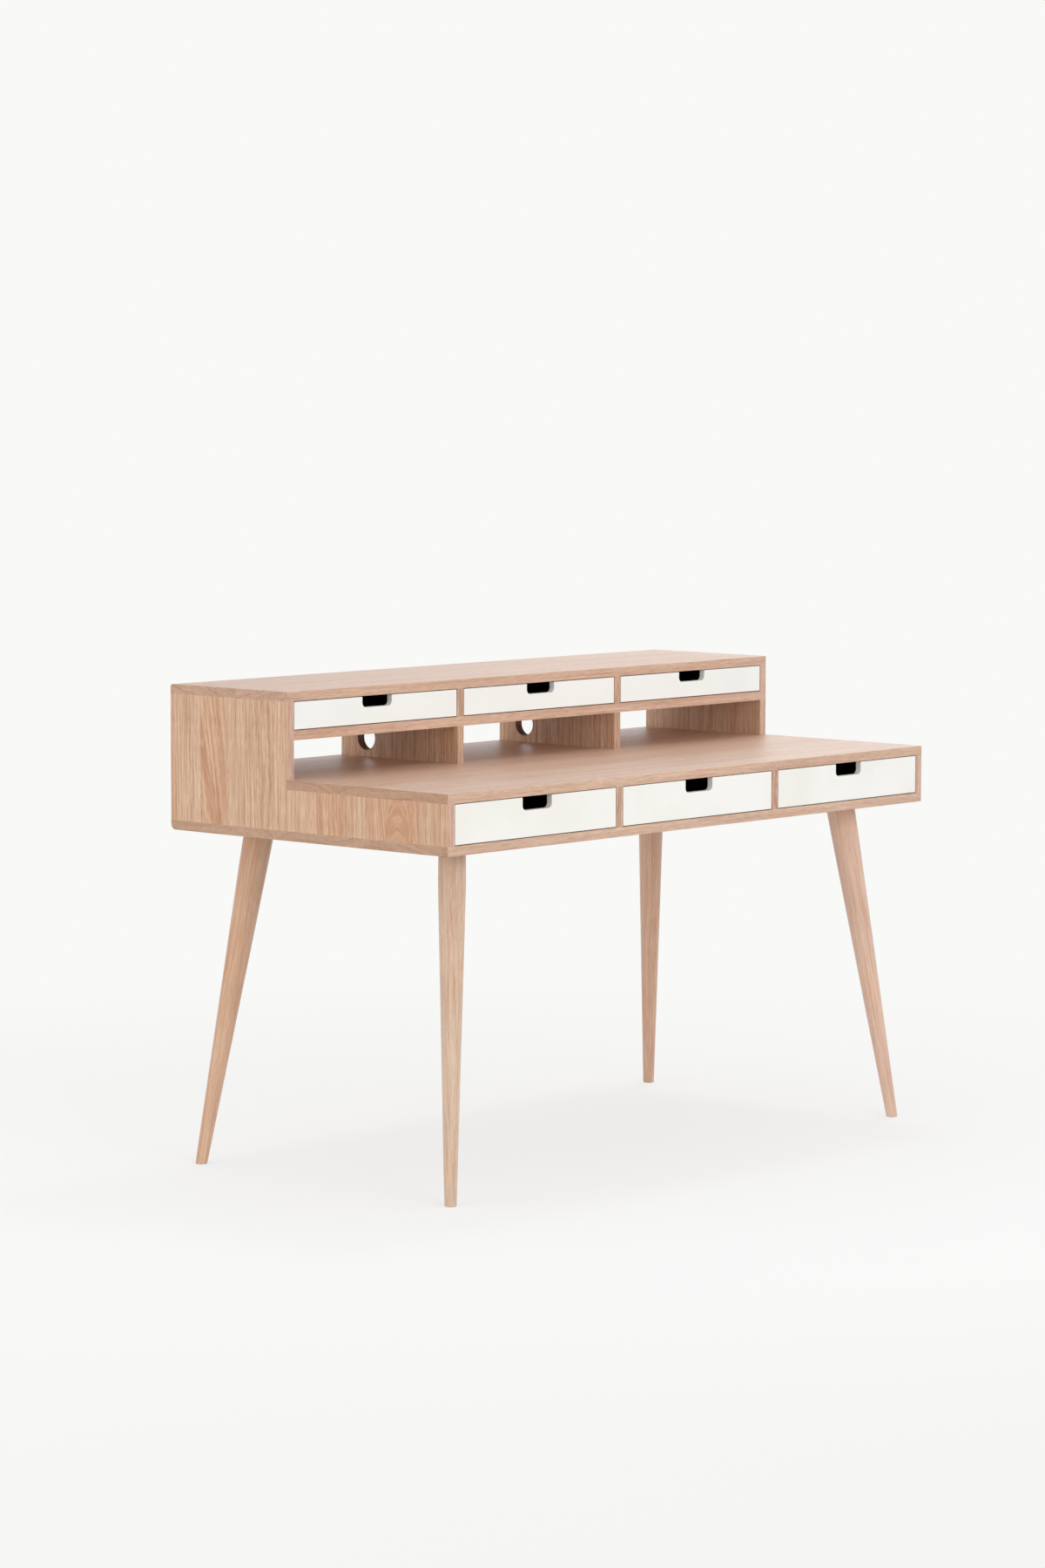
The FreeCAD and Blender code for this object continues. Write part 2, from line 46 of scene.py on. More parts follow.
# Studio: a seamless pale floor that runs into a pale backdrop, even light from all round and four soft
# lamps: one to the left at the desk's own height, two in front of it and one high beyond its right end.
class Wire:
    """One output socket of a set of nodes. Arithmetic on wires adds Math nodes."""

    def __init__(self, socket):
        self.socket = socket

    def add(self, kind, settings, sockets, out=0):
        """Any other node: its settings first, then the values or wires of its sockets."""
        tree = self.socket.id_data
        node = tree.nodes.new("ShaderNode" + kind)
        for name, value in settings.items():
            setattr(node, name, value)
        for name, value in sockets.items():
            if isinstance(value, Wire):
                tree.links.new(value.socket, node.inputs[name])
            else:
                node.inputs[name].default_value = value
        return Wire(node.outputs[out])

    def into(self, socket):
        """Link this wire to a socket of a shader."""
        self.socket.id_data.links.new(self.socket, socket)

    def math(self, operation, *others):
        return self.add("Math", {"operation": operation}, dict(enumerate((self, *others))))

    def __add__(self, other):
        return self.math("ADD", other)

    def __sub__(self, other):
        return self.math("SUBTRACT", other)

    def __mul__(self, other):
        return self.math("MULTIPLY", other)

    def __truediv__(self, other):
        return self.math("DIVIDE", other)

    def __pow__(self, other):
        return self.math("POWER", other)

    def __rsub__(self, other):
        return self.add("Math", {"operation": "SUBTRACT"}, {0: other, 1: self})

    __radd__ = __add__
    __rmul__ = __mul__

    def rise(self, low, high):
        """Nought below the low value, one above the high one, smooth between them."""
        sockets = {"Value": self, "From Min": low, "From Max": high}
        return self.add("MapRange", {"interpolation_type": "SMOOTHSTEP"}, sockets)

    def mix(self, first, second, blend="MIX"):
        """A colour between two, with this wire as the share of the second."""
        settings = {"data_type": "RGBA", "blend_type": blend}
        return self.add("Mix", settings, {0: self, 6: first, 7: second}, out=2)

    def parts(self):
        """The three numbers in a colour."""
        node = self.add("SeparateColor", {}, {"Color": self}).socket.node
        return [Wire(output) for output in node.outputs]


def colour(red, green, blue):
    """A colour as a paint chart writes it, 0 to 255, for a shader's socket."""
    chart = [value / 255 for value in (red, green, blue)]
    linear = [v / 12.92 if v <= 0.04045 else ((v + 0.055) / 1.055) ** 2.4 for v in chart]
    return (*linear, 1.0)


def even_noise(place, scale, detail):
    """Noise that is as fine one way as the other."""
    return place.add("TexNoise", {}, {"Vector": place, "Scale": scale, "Detail": detail})


BACKDROP = colour(249, 249, 247)
SKY_SIDE = colour(222, 222, 223)
SKY_TOP = colour(236, 236, 236)
SKY_RISE = (0.2, 0.9)
SHEEN_LOW = colour(120, 120, 120)
SHEEN_LEFT = colour(224, 224, 225)
SHEEN_RIGHT = colour(345, 345, 345)
SHEEN_TURN = (0.62, 0.83)
SHEEN_RISE = (0.0, 0.2)

world = bpy.data.worlds.new("studio")
scene.world = world
world.use_nodes = True
world_nodes = world.node_tree.nodes
rays = world_nodes.new("ShaderNodeLightPath").outputs
way = Wire(world_nodes.new("ShaderNodeTexCoord").outputs["Generated"])
to_right, _, to_top = way.parts()
sheen = to_right.rise(*SHEEN_TURN).mix(SHEEN_LEFT, SHEEN_RIGHT)
sheen = to_top.rise(*SHEEN_RISE).mix(SHEEN_LOW, sheen)
sky = to_top.rise(*SKY_RISE).mix(SKY_SIDE, SKY_TOP)
sky_light = Wire(rays["Is Glossy Ray"]).mix(sky, sheen)
sky_light = Wire(rays["Is Camera Ray"]).mix(sky_light, BACKDROP)
sky_light.into(world_nodes["Background"].inputs["Color"])

FLOOR_HALF = 60.0
FLOOR_DULL = colour(240, 241, 243)
FLOOR_BRIGHT = colour(246, 247, 249)
FLOOR_GRIT = 90.0
GRIT_LEAST = 0.4
GRIT_SWING = 0.2
FLOOR_ROUGH = 0.9
FLOOR_FADE = (0.9, 2.6)
FLOOR_SHADOW = 0.37
FLOOR_BOUNCE = colour(168, 168, 168)
FLOOR_FRONT = colour(245, 245, 243)
FLOOR_TURN = (-3.0, 1.0)
FLOOR_FAR = (4.0, 12.0)

floor_mesh = bpy.data.meshes.new("floor")
corners = [(x * FLOOR_HALF, y * FLOOR_HALF, 0.0) for x, y in ((-1, -1), (1, -1), (1, 1), (-1, 1))]
floor_mesh.from_pydata(corners, [], [(0, 1, 2, 3)])
floor = bpy.data.objects.new("floor", floor_mesh)
scene.collection.objects.link(floor)

floor_paint = bpy.data.materials.new("floor_paint")
floor_paint.use_nodes = True
floor_mesh.materials.append(floor_paint)
floor_nodes = floor_paint.node_tree.nodes
floor_place = Wire(floor_nodes.new("ShaderNodeTexCoord").outputs["Object"])
from_desk = floor_place.add("VectorMath", {"operation": "LENGTH"}, {0: floor_place}, "Value")
floor_grit = even_noise(floor_place, FLOOR_GRIT, 3.0)
floor_tone = (floor_grit * GRIT_SWING + GRIT_LEAST).mix(FLOOR_DULL, FLOOR_BRIGHT)
floor_paint_shader = floor_nodes["Principled BSDF"]
floor_tone.into(floor_paint_shader.inputs["Base Color"])
floor_paint_shader.inputs["Roughness"].default_value = FLOOR_ROUGH
floor_rays = floor_nodes.new("ShaderNodeLightPath").outputs
_, to_rear, _ = floor_place.parts()
# The floor is mostly a glow in the backdrop's pale colour, painted light that is a little dimmer towards
# the front; near the desk a share of lit floor paint keeps the desk's shadow.
floor_lit = to_rear.rise(*FLOOR_TURN).math("MAXIMUM", from_desk.rise(*FLOOR_FAR))
floor_glow = floor_lit.mix(FLOOR_FRONT, BACKDROP)
floor_glow = Wire(floor_rays["Is Diffuse Ray"]).mix(floor_glow, FLOOR_BOUNCE)
glow = floor_place.add("Emission", {}, {"Color": floor_glow})
shadow_share = (1 - from_desk.rise(*FLOOR_FADE)) * FLOOR_SHADOW
floor_look = shadow_share.add(
    "MixShader", {}, {0: shadow_share, 1: glow, 2: Wire(floor_paint_shader.outputs[0])}
)
floor_look.into(floor_nodes["Material Output"].inputs["Surface"])


def soft_lamp(name, place, aim, side, watts):
    """A square soft box that points at a spot and isn't seen itself, straight or mirrored."""
    data = bpy.data.lights.new(name, "AREA")
    data.energy = watts
    data.size = side
    lamp = bpy.data.objects.new(name, data)
    lamp.location = place
    lamp.rotation_euler = (Vector(aim) - Vector(place)).to_track_quat("-Z", "Y").to_euler()
    lamp.visible_camera = False
    lamp.visible_glossy = False
    scene.collection.objects.link(lamp)


soft_lamp("left_lamp", place=(-4.4, 0.9, 0.9), aim=(0.0, 0.0, 0.6), side=1.8, watts=45.0)
soft_lamp("front_lamp", place=(-1.5, -4.9, 2.0), aim=(0.0, 0.0, 0.7), side=3.0, watts=85.0)
soft_lamp("right_lamp", place=(2.6, -4.6, 2.2), aim=(0.0, 0.0, 0.6), side=1.2, watts=30.0)
soft_lamp("top_lamp", place=(1.4, 0.4, 4.2), aim=(0.0, 0.0, 0.6), side=0.6, watts=17.0)


# Bottom panel: one wide board, edge-glued from oak staves along the desk's width. It runs under the sides,
# takes the four leg inserts from below, and is oiled with a little white pigment.
ALONG_X = Vector((1, 0, 0))
ALONG_Y = Vector((0, 1, 0))
ALONG_Z = Vector((0, 0, 1))

OAK_TAN = colour(213, 176, 144)
OAK_PINK = colour(211, 177, 155)
OAK_PALE = colour(236, 205, 174)
OAK_DARK = colour(172, 119, 88)
OAK_WARM = (0.95, 0.79, 0.69, 1.0)
OAK_SHADE = (0.94, 0.93, 0.92, 1.0)
OAK_END = colour(199, 163, 137)
OAK_END_PALE = colour(207, 171, 147)
OAK_END_WARM = colour(197, 157, 129)
OAK_END_DARK = colour(152, 113, 88)
GLUE_LINE = colour(164, 122, 98)

# Tints for a board's front and rear edges; the sides' cooler tint is a painted highlight.
EDGE_PLAIN = (1.0, 1.0, 1.0, 1.0)
EDGE_SIDE_HIGHLIGHT = (0.95, 0.97, 1.12, 1.0)
EDGE_DIVIDER = (0.87, 0.91, 1.02, 1.0)

# How a board is sawn: its tone, how far aside and how deep the pith lies, the lean and pitch of the grain,
# the width of a ring, the strength of streaks, red tint, bands and fibre, and its edges and ends
FLAT_SAWN = {
    "tone": OAK_PINK, "away": 0.22, "deep": (0.22, 0.20), "lean": 0.03, "pitch": 0.03, "ring": 0.0042,
    "lines": 0.45, "warmth": 0.45, "bands": 0.25, "fibre": 1.0, "edge": EDGE_PLAIN, "end": OAK_END,
}
RIFT_SAWN = {
    "tone": OAK_TAN, "away": 0.44, "deep": (0.018, 0.05), "lean": 0.14, "pitch": 0.8, "ring": 0.0070,
    "lines": 1.0, "warmth": 1.0, "bands": 0.1, "fibre": 1.0, "edge": EDGE_SIDE_HIGHLIGHT, "end": OAK_END,
}

# How closely each pattern repeats, along the grain and across it
OAK_PACE = {
    "bend": (2.4, 7.0), "ripple": (13.0, 30.0), "blotch": (4.0, 20.0), "band": (1.8, 60.0),
    "streak": (5.0, 240.0), "fibre": (45.0, 430.0), "pore": (60.0, 1500.0),
}

# Where each pattern sets in and where it is full
OAK_TURN = {
    "red_stave": (0.55, 0.90), "red_blotch": (0.48, 0.70), "faded": (0.35, 0.60), "early": (0.0, 0.08),
    "late": (0.12, 0.55), "band": (0.45, 0.70), "streak": (0.46, 0.68), "dark_fibre": (0.46, 0.72),
    "pale_fibre": (0.50, 0.75), "pore": (0.60, 0.72), "end": (0.40, 0.70), "facing": (0.55, 0.85),
}

# How much of its own colour each pattern puts on the wood, and on the sawn ends
OAK_SHARE = {
    "red_stave": 0.8, "red_blotch": 0.55, "shade": 0.5, "ring_band": 0.15, "line": 0.15, "red_line": 0.5,
    "dark_streak": 0.62, "pale_streak": 0.68, "dark_fibre": 0.36, "pale_fibre": 0.28, "pore": 0.30,
    "glue": 0.4, "scorch_and_shade": 0.85,
}
END_SHARE = {"cover": 0.9, "line": 0.55, "ring_band": 0.3, "fibre": 0.35, "stave": 0.1}
OAK_ROUGH = {"plain": 0.38, "fibre": 0.10, "pore": 0.1, "end": 0.15}
OAK_RELIEF = {"fibre": 0.25, "pore": 0.7, "glue": 0.8, "line": 0.15}

STAVE_SWAY = 0.17
SWAY_PACE = 2.3
FIRST_STAVE = 50
FAINT_YEAR = 0.2
YEAR_SWING = 2.0
ARCH_CALM = 0.5
BAND_GAP = 0.012
WANDER = 0.016
RIPPLE = 0.0024
SPAN_EDGE = 0.001
SCORCH_AND_SHADE_EDGE = (0.0003, 0.0015)
GLUE_WIDE = 0.0004
PORE_DEEP = 0.0002
OIL_FILM = 0.5
OIL_ROUGH = 0.4


def new_finish(name):
    """A new material, its shader, and the place and the facing of each point of the piece."""
    material = bpy.data.materials.new(name)
    material.use_nodes = True
    tree = material.node_tree
    spots = tree.nodes.new("ShaderNodeTexCoord").outputs
    return material, tree.nodes["Principled BSDF"], Wire(spots["Object"]), Wire(spots["Normal"])


def dress(node, material):
    """Give a piece of the frame its finish."""
    mesh = nodes[node].data
    mesh.materials.clear()
    mesh.materials.append(material)


def roughen(shader, height, strength, distance):
    """A fine relief on a finish."""
    sockets = {"Strength": strength, "Distance": distance, "Height": height}
    height.add("Bump", {}, sockets).into(shader.inputs["Normal"])


def along_axis(vector, axis):
    """How far a vector reaches along an axis."""
    return vector.add("VectorMath", {"operation": "DOT_PRODUCT"}, {0: vector, 1: axis}, "Value")


def grain_noise(u, v, w, pace, detail, roughness=0.5, out=0):
    """Noise that is drawn out along the grain."""
    along, across = pace
    spot = u.add("CombineXYZ", {}, {0: u * along, 1: v * across, 2: w * across})
    sockets = {"Vector": spot, "Scale": 1.0, "Detail": detail, "Roughness": roughness}
    return u.add("TexNoise", {}, sockets, out)


def within(number, low, high):
    """One between two values, nought outside them."""
    return number.rise(low, low + SPAN_EDGE) * (1 - number.rise(high - SPAN_EDGE, high))


def oak(node, along, across, stave, seed, sawn, centre=None, red_spans=(), arch=None, bore=None):
    """Oak staves side by side across a board, each with its own pith, rings, tint and pores."""
    if centre is None:
        low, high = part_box(node)
        centre = (low + high) / 2
    material, shader, place, facing = new_finish(f"oak_{node}")
    here = place.add("VectorMath", {"operation": "SUBTRACT"}, {0: place, 1: centre})
    u = along_axis(here, along)
    v = along_axis(here, across)
    w = along_axis(here, along.cross(across))

    # staves of uneven width, with three draws for each; here and below, a number times a stave's own
    # number only keeps the pattern of one stave apart from that of the next
    sway = (v * (SWAY_PACE / stave) + seed).math("SINE") * (STAVE_SWAY * stave)
    start = 0.37 * seed + FIRST_STAVE
    count = (v + sway) / stave + start
    number = count.math("FLOOR")
    inside = count - number
    draws = number.add("TexWhiteNoise", {"noise_dimensions": "1D"}, {"W": number + 31.7 * seed}, "Color")
    first, second, third = draws.parts()

    def staves_in(low, high):
        """One on the staves whose middle lies between two places across the board."""
        return within((number + (0.5 - start)) * stave, low, high)

    # some staves are redder, and in these the grain slants
    if red_spans:
        warm_stave = sum(staves_in(*span) for span in red_spans)
    else:
        warm_stave = second.rise(*OAK_TURN["red_stave"])
    slant = warm_stave * ((first - 0.5) * (2 * sawn["lean"]))

    # the grain bends slowly and ripples, and the stave's pith lies off to one side
    bends = grain_noise(u + number * 3.1, v, w, OAK_PACE["bend"], 1.0, out="Color")
    ripples = grain_noise(u + number * 1.7, v, w, OAK_PACE["ripple"], 2.0, out="Color")
    side_bend, deep_bend, _ = bends.parts()
    side_ripple, deep_ripple, _ = ripples.parts()
    side_shift = (side_bend - 0.5) * WANDER + (side_ripple - 0.5) * RIPPLE + u * slant
    deep_shift = (deep_bend - 0.5) * WANDER + (deep_ripple - 0.5) * RIPPLE
    grain = (inside - 0.5) * stave + side_shift
    off = grain + (first - 0.5) * sawn["away"]
    deep = w + deep_shift + u * ((third - 0.5) * sawn["pitch"]) + sawn["deep"][0] + third * sawn["deep"][1]
    lane = grain
    lines = sawn["lines"]

    # an arched stave is cut close to a leaning pith, so that its rings and streaks run up into arches
    if arch:
        arched = staves_in(*arch["span"])
        off = off - arched * ((first - 0.5) * sawn["away"] + arch["side"])
        deep = deep + arched * (deep_shift + arch["deep"] + (u - arch["height"]) * arch["pitch"] - deep)
    ring = (off * off + deep * deep) ** 0.5
    if arch:
        lane = grain + arched * (ring - grain)
        lines = lines * (1 - arched * ARCH_CALM)

    # rings of uneven width and strength: porous early wood starts sharply and fades outwards
    pace = ring.add(
        "TexNoise", {"noise_dimensions": "1D"},
        {"W": ring / BAND_GAP + number * 17.3 + seed, "Scale": 1.0, "Detail": 3.0, "Roughness": 0.65},
    )
    years = ring / sawn["ring"] + pace * YEAR_SWING + number * 5.7
    year = years.math("FLOOR")
    late = years - year
    strength = year.add("TexWhiteNoise", {"noise_dimensions": "1D"}, {"W": year + number * 7.9}, "Value")
    line = late.rise(*OAK_TURN["early"]) * (1 - late.rise(*OAK_TURN["late"]))
    line = line * (strength * strength * (1 - FAINT_YEAR) + FAINT_YEAR)

    # broad blotches, bands, streaks and fibre drawn out along the bent grain, and short dark pores
    blotch = grain_noise(u + number * 2.3, lane, w, OAK_PACE["blotch"], 2.0)
    band = grain_noise(u + number * 4.9, lane, w, OAK_PACE["band"], 3.0)
    streak = grain_noise(u + number, lane, w, OAK_PACE["streak"], 4.0, roughness=0.72)
    fibre = grain_noise(u, lane, w, OAK_PACE["fibre"], 2.0, roughness=0.6)
    pores = grain_noise(u, lane, w, OAK_PACE["pore"], 1.0).rise(*OAK_TURN["pore"])
    ring_band = pace.rise(*OAK_TURN["band"])
    dark_band = band.rise(*OAK_TURN["band"])
    pale_band = (1 - band).rise(*OAK_TURN["band"])
    dark_streak = streak.rise(*OAK_TURN["streak"])
    pale_streak = (1 - streak).rise(*OAK_TURN["streak"])
    dark_fibre = fibre.rise(*OAK_TURN["dark_fibre"]) * sawn["fibre"]
    pale_fibre = (1 - fibre).rise(*OAK_TURN["pale_fibre"]) * sawn["fibre"]
    ring_line = line * (warm_stave * OAK_SHARE["red_line"] + OAK_SHARE["line"])
    ring_line = ring_line * blotch.rise(*OAK_TURN["faded"])
    red_blotch = blotch.rise(*OAK_TURN["red_blotch"])

    warm = warm_stave * OAK_SHARE["red_stave"] + red_blotch * OAK_SHARE["red_blotch"]
    wood = (warm.math("MINIMUM", 1.0) * sawn["warmth"]).mix(sawn["tone"], OAK_WARM, "MULTIPLY")
    wood = (third * OAK_SHARE["shade"]).mix(wood, OAK_SHADE, "MULTIPLY")
    wood = (ring_band * OAK_SHARE["ring_band"]).mix(wood, OAK_DARK)
    wood = (dark_band * sawn["bands"]).mix(wood, OAK_DARK)
    wood = (pale_band * sawn["bands"]).mix(wood, OAK_PALE)
    wood = ring_line.mix(wood, OAK_DARK)
    wood = (dark_streak * (lines * OAK_SHARE["dark_streak"])).mix(wood, OAK_DARK)
    wood = (pale_streak * (lines * OAK_SHARE["pale_streak"])).mix(wood, OAK_PALE)
    wood = (dark_fibre * OAK_SHARE["dark_fibre"]).mix(wood, OAK_DARK)
    wood = (pale_fibre * OAK_SHARE["pale_fibre"]).mix(wood, OAK_PALE)
    wood = (pores * OAK_SHARE["pore"]).mix(wood, OAK_DARK)

    # sawn ends are greyer, with the rings as fine lines and with specks
    end_face = along_axis(facing, along).math("ABSOLUTE").rise(*OAK_TURN["facing"])
    end_dark = line * END_SHARE["line"] + pace.rise(*OAK_TURN["end"]) * END_SHARE["ring_band"]
    end_dark = end_dark + fibre.rise(*OAK_TURN["end"]) * END_SHARE["fibre"] + third * END_SHARE["stave"]
    wood = (end_face * END_SHARE["cover"]).mix(wood, end_dark.mix(sawn["end"], OAK_END_DARK))

    # a board's front and rear edges get a tint of their own: on the sides a cooler, pinker cast,
    # a painted highlight, and on the dividers a darker, cooler tone
    edge_face = along_axis(facing, across).math("ABSOLUTE").rise(*OAK_TURN["facing"])
    wood = edge_face.mix(wood, sawn["edge"], "MULTIPLY")

    # glue lines between the staves
    to_joint = inside.math("MINIMUM", 1 - inside) * stave
    glue = 1 - to_joint.rise(0.0, GLUE_WIDE)
    wood = (glue * OAK_SHARE["glue"]).mix(wood, GLUE_LINE)

    # the wall of a bored hole is painted dark: partly scorch from the bore, partly painted shade inside
    # the hole
    if bore:
        from_axis = place.add("VectorMath", {"operation": "SUBTRACT"}, {0: place, 1: bore["middle"]})
        from_axis = from_axis.add("VectorMath", {"operation": "MULTIPLY"}, {0: from_axis, 1: bore["flat"]})
        reach = from_axis.add("VectorMath", {"operation": "LENGTH"}, {0: from_axis}, "Value")
        scorch_and_shade = 1 - reach.rise(*[bore["radius"] + edge for edge in SCORCH_AND_SHADE_EDGE])
        wood = (scorch_and_shade * OAK_SHARE["scorch_and_shade"]).mix(wood, bore["colour"])

    wood.into(shader.inputs["Base Color"])
    rough = fibre * OAK_ROUGH["fibre"] + OAK_ROUGH["plain"] + pores * OAK_ROUGH["pore"]
    (rough + end_face * OAK_ROUGH["end"]).into(shader.inputs["Roughness"])
    ((1 - end_face) * OIL_FILM).into(shader.inputs["Coat Weight"])
    shader.inputs["Coat Roughness"].default_value = OIL_ROUGH
    relief = fibre * OAK_RELIEF["fibre"] - pores * OAK_RELIEF["pore"]
    relief = relief - glue * OAK_RELIEF["glue"] - line * OAK_RELIEF["line"]
    roughen(shader, relief, 0.4, PORE_DEEP)
    dress(node, material)


WIDE_STAVE = 0.085
SIDE_STAVE = 0.060

oak("bottom_panel", ALONG_X, ALONG_Y, WIDE_STAVE, 5, FLAT_SAWN)


# Leg fixings: a brass threaded insert in the bottom panel for each leg, and a zinc-plated hanger bolt
# that is screwed into the leg's top and then, with the leg, into the insert. The countersunk screws of
# the drawer runners have the same zinc plating.
BRASS = colour(205, 170, 100)
BRASS_DULL = colour(168, 134, 74)
ZINC = colour(190, 192, 194)
ZINC_DULL = colour(150, 152, 155)
FILM_PATCH = 160.0
FILM_TURN = (0.35, 0.7)
TOOL_MARK = 1800.0
METAL_ROUGH = 0.28
FILM_ROUGH = 0.25
MARK_DEEP = 0.0001


def plated(name, bright, dull, pieces):
    """Bare or plated metal with faint turning marks and a patchy dull film."""
    material, shader, place, _ = new_finish(name)
    film = even_noise(place, FILM_PATCH, 4.0)
    marks = even_noise(place, TOOL_MARK, 1.0)
    film.rise(*FILM_TURN).mix(bright, dull).into(shader.inputs["Base Color"])
    shader.inputs["Metallic"].default_value = 1.0
    (film * FILM_ROUGH + METAL_ROUGH).into(shader.inputs["Roughness"])
    roughen(shader, marks, 0.2, MARK_DEEP)
    for piece in pieces:
        dress(piece, material)


plated("brass", BRASS, BRASS_DULL, ["leg_inserts"])
plated("zinc", ZINC, ZINC_DULL, ["leg_bolts", "runner_screws"])


# Legs: four tapered, slightly oval legs, each shaped from one solid piece of oak with the grain along it.
# They splay outwards both ways, meet the bottom panel with a flat top and stand on a small flat foot.
ONE_PIECE = 1.0
LEVEL_NEAR = 1e-5
LEG_SAWN = RIFT_SAWN | {"lean": 0.05, "pitch": 0.05, "lines": 0.55, "fibre": 0.5, "edge": EDGE_PLAIN}
# Each leg has a tone of its own: partly the wood's own tint, partly painted light, with the front legs
# lighter and the rear legs darker as more light falls on the front ones.
LEG_TONES = {
    "leg_front_left": colour(216, 200, 181),
    "leg_front_right": colour(225, 191, 170),
    "leg_rear_left": colour(211, 171, 140),
    "leg_rear_right": colour(209, 170, 144),
}


def level_middle(node, level):
    """Middle of the outline that a piece has at a level."""
    points = [spot.co for spot in nodes[node].data.vertices if abs(spot.co.z - level) < LEVEL_NEAR]
    return (Vector(map(min, zip(*points))) + Vector(map(max, zip(*points)))) / 2


for seed, (leg, tone) in enumerate(LEG_TONES.items(), start=11):
    low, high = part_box(leg)
    foot = level_middle(leg, low.z)
    head = level_middle(leg, high.z)
    leg_axis = (head - foot).normalized()
    cut = LEG_SAWN | {"tone": tone}
    oak(leg, leg_axis, leg_axis.cross(ALONG_X).normalized(), ONE_PIECE, seed, cut, (foot + head) / 2)


# Sides: L-shaped boards of upright oak staves, dowelled on to the bottom panel.
# A round-cornered bite in the front of the tall part takes the end of the desktop.
LEFT_RED_SPANS = ((-0.295, -0.155), (-0.105, -0.02), (0.225, 0.295))
LEFT_ARCH = {"span": (-0.295, -0.235), "side": 0.012, "height": -0.08, "deep": 0.018, "pitch": 0.16}

oak("left_side", ALONG_Z, ALONG_Y, SIDE_STAVE, 2896, RIFT_SAWN, red_spans=LEFT_RED_SPANS, arch=LEFT_ARCH)
oak("right_side", ALONG_Z, ALONG_Y, SIDE_STAVE, 22, RIFT_SAWN)


# Case dividers and case back: oak boards, the dividers dowelled between the bottom panel and the desktop
# and the back between the two sides. The dividers' upright grain shows in front, between the drawers.
DIVIDER_SAWN = RIFT_SAWN | {"lines": 1.35, "edge": EDGE_DIVIDER}

oak("case_divider_left", ALONG_Z, ALONG_Y, SIDE_STAVE, 31, DIVIDER_SAWN)
oak("case_divider_right", ALONG_Z, ALONG_Y, SIDE_STAVE, 32, DIVIDER_SAWN)
oak("case_back", ALONG_X, ALONG_Z, WIDE_STAVE, 33, FLAT_SAWN)


# Desktop: a wide oak board with its staves along the desk's width, over the low part of the sides
# and between their tall parts behind, dowelled to the sides and to the case dividers.
oak("desktop", ALONG_X, ALONG_Y, WIDE_STAVE, 46, FLAT_SAWN | {"end": OAK_END_WARM})


# Hutch: two low dividers with cable holes, a shelf, two upper dividers, a back and a top, all oak.
# The shelf and the back are dowelled between the sides, the dividers to the boards over and under them,
# and the top on to the sides. Only the dividers have upright grain.
# The cable holes' walls get a dark brown: partly scorch, partly painted shade inside the holes.
CABLE_BORE = {
    "middle": Vector((0.0, 0.287, 0.786)),
    "flat": Vector((0, 1, 1)),
    "radius": 0.023,
    "colour": colour(92, 58, 44),
}

oak("hutch_divider_lower_left", ALONG_Z, ALONG_Y, SIDE_STAVE, 51, DIVIDER_SAWN, bore=CABLE_BORE)
oak("hutch_divider_lower_right", ALONG_Z, ALONG_Y, SIDE_STAVE, 52, DIVIDER_SAWN, bore=CABLE_BORE)
oak("hutch_shelf", ALONG_X, ALONG_Y, WIDE_STAVE, 64, FLAT_SAWN)
oak("hutch_divider_upper_left", ALONG_Z, ALONG_Y, SIDE_STAVE, 54, DIVIDER_SAWN)
oak("hutch_divider_upper_right", ALONG_Z, ALONG_Y, SIDE_STAVE, 55, DIVIDER_SAWN)
oak("hutch_back", ALONG_X, ALONG_Z, WIDE_STAVE, 56, FLAT_SAWN)
oak("hutch_top", ALONG_X, ALONG_Y, WIDE_STAVE, 74, FLAT_SAWN | {"end": OAK_END_PALE})


# Dowels and runners: plain steamed beech. The dowels are glued into blind holes between the boards,
# and the waxed runners are screwed to both sides of each drawer bay.
BEECH = colour(203, 164, 130)
BEECH_DARK = colour(178, 134, 100)
BEECH_FLECK = colour(160, 112, 80)
BEECH_FIBRE_PACE = (9.0, 260.0)
BEECH_FLECK_PACE = (260.0, 1700.0)
BEECH_FIBRE_TURN = (0.3, 0.7)
BEECH_FLECK_TURN = (0.62, 0.70)
FLECK_SHARE = 0.5
BEECH_ROUGH = 0.45
BEECH_ROUGH_SWING = 0.15
BEECH_RELIEF = 0.4
FIBRE_DEEP = 0.0002


def beech(name, along, across, pieces):
    """Steamed beech: fine even fibre with short darker ray flecks."""
    material, shader, place, _ = new_finish(name)
    u = along_axis(place, along)
    v = along_axis(place, across)
    w = along_axis(place, along.cross(across))
    fibre = grain_noise(u, v, w, BEECH_FIBRE_PACE, 3.0)
    fleck = grain_noise(u, v, w, BEECH_FLECK_PACE, 1.0).rise(*BEECH_FLECK_TURN)
    wood = fibre.rise(*BEECH_FIBRE_TURN).mix(BEECH, BEECH_DARK)
    (fleck * FLECK_SHARE).mix(wood, BEECH_FLECK).into(shader.inputs["Base Color"])
    (fibre * BEECH_ROUGH_SWING + BEECH_ROUGH).into(shader.inputs["Roughness"])
    roughen(shader, (fibre - fleck) * BEECH_RELIEF, 0.3, FIBRE_DEEP)
    for piece in pieces:
        dress(piece, material)


beech("beech_runner", ALONG_Y, ALONG_Z, ["lower_runners", "upper_runners"])
beech("beech_dowel", ALONG_Z, ALONG_Y, ["case_dowels", "hutch_dowels"])


# Drawer boxes: birch walls and back housed into each other and into the front, over a thin plywood bottom.
# Their matt finish is coloured near-black, a painted shade that stands in for the dark seen through the
# finger notches.
# The near-black below is painted shade for the drawers' insides.
SHADE_BLACK = colour(22, 21, 20)
SHADE_BLACK_GRAIN = colour(44, 41, 38)
BIRCH_PACE = (6.0, 240.0)
BIRCH_TURN = (0.35, 0.75)
BIRCH_ROUGH = 0.5
BIRCH_ROUGH_SWING = 0.2
PLY_LAYER = 0.00125
PLY_FACING = (0.4, 0.8)
PLY_SHARE = 0.5


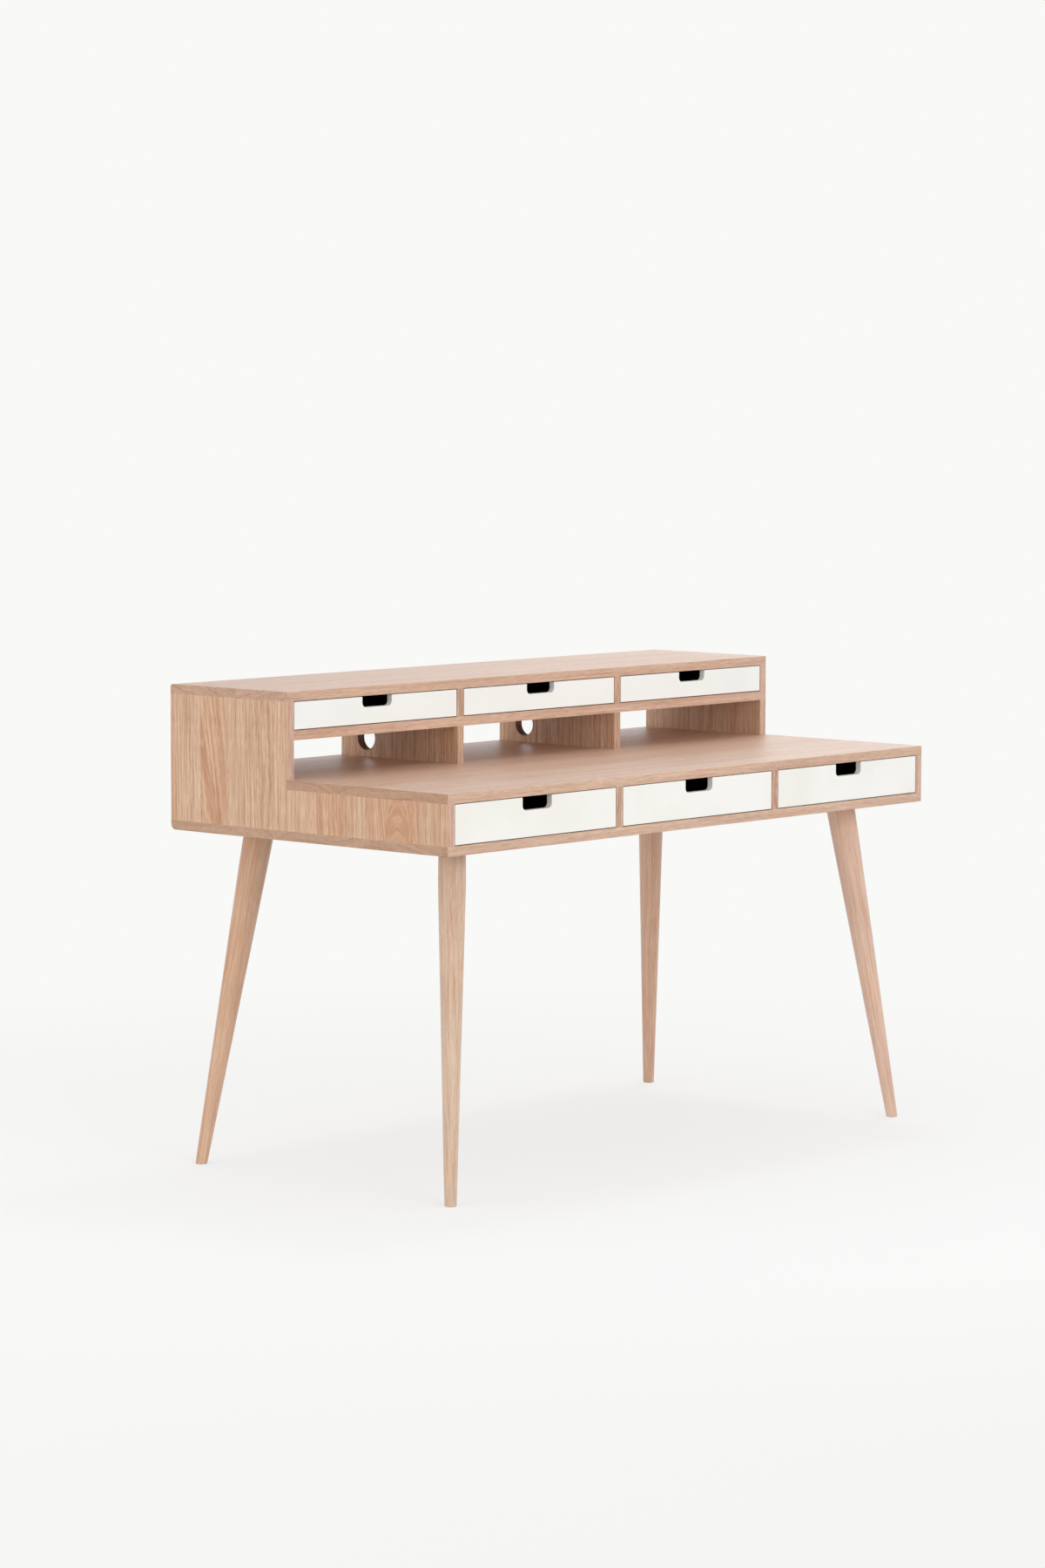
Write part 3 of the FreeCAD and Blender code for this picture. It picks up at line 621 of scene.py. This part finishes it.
def shade_black_birch(name, along, across, layers, pieces):
    """Birch coloured near-black as painted shade, with a trace of grain, and ply layers on the edges where
    it has them.
    """
    material, shader, place, facing = new_finish(name)
    thick = along.cross(across)
    u = along_axis(place, along)
    v = along_axis(place, across)
    w = along_axis(place, thick)
    fibre = grain_noise(u, v, w, BIRCH_PACE, 4.0)
    shade = fibre.rise(*BIRCH_TURN)
    if layers:
        edge_face = 1 - along_axis(facing, thick).math("ABSOLUTE").rise(*PLY_FACING)
        stripes = (w / PLY_LAYER).math("PINGPONG", 1.0)
        shade = shade * (1 - PLY_SHARE) + edge_face * stripes * PLY_SHARE
    shade.mix(SHADE_BLACK, SHADE_BLACK_GRAIN).into(shader.inputs["Base Color"])
    (fibre * BIRCH_ROUGH_SWING + BIRCH_ROUGH).into(shader.inputs["Roughness"])
    roughen(shader, fibre, 0.3, FIBRE_DEEP)
    for piece in pieces:
        dress(piece, material)


DRAWERS = [f"{row}_drawer_{bay}" for row in ("lower", "upper") for bay in ("left", "middle", "right")]
shade_black_birch(
    "shade_black_birch_wall", ALONG_Y, ALONG_Z, False,
    [f"{drawer}_wall_{side}" for drawer in DRAWERS for side in ("left", "right")],
)
shade_black_birch("shade_black_birch_back", ALONG_X, ALONG_Z, False, [f"{drawer}_back" for drawer in DRAWERS])
shade_black_birch("black_ply", ALONG_X, ALONG_Y, True, [f"{drawer}_bottom" for drawer in DRAWERS])


# Drawer fronts: thin boards in satin off-white lacquer, inset flush with the case, with eased edges
# and a round-cornered finger notch in the upper edge. The upper row's white is a little cooler and
# brighter, painted light that offsets the warm light bouncing up on to these fronts from the desktop.
LACQUER = colour(246, 245, 240)
LACQUER_CREAM = colour(241, 239, 231)
# the upper row's cooler white is painted light against the desktop's warm bounce
LACQUER_COOL = colour(246, 250, 248)
LACQUER_COOL_SHADE = colour(243, 247, 244)
TONE_DRIFT = 7.0
DRIFT_TURN = (0.3, 0.7)
ORANGE_PEEL = 420.0
LACQUER_ROUGH = 0.33
DRIFT_ROUGH = 0.1
PEEL_ROUGH = 0.05
PEEL_DEEP = 0.0002


def lacquer(name, bright, shade, pieces):
    """Sprayed satin lacquer: a trace of orange peel and slow drifts of tone and sheen."""
    material, shader, place, _ = new_finish(name)
    drift = even_noise(place, TONE_DRIFT, 3.0)
    peel = even_noise(place, ORANGE_PEEL, 2.0)
    drift.rise(*DRIFT_TURN).mix(bright, shade).into(shader.inputs["Base Color"])
    (drift * DRIFT_ROUGH + LACQUER_ROUGH + peel * PEEL_ROUGH).into(shader.inputs["Roughness"])
    roughen(shader, peel, 0.12, PEEL_DEEP)
    for piece in pieces:
        dress(piece, material)


LOWER_FRONTS = [f"{drawer}_front" for drawer in DRAWERS if drawer.startswith("lower")]
UPPER_FRONTS = [f"{drawer}_front" for drawer in DRAWERS if drawer.startswith("upper")]
lacquer("white_lacquer_lower", LACQUER, LACQUER_CREAM, LOWER_FRONTS)
lacquer("white_lacquer_upper", LACQUER_COOL, LACQUER_COOL_SHADE, UPPER_FRONTS)
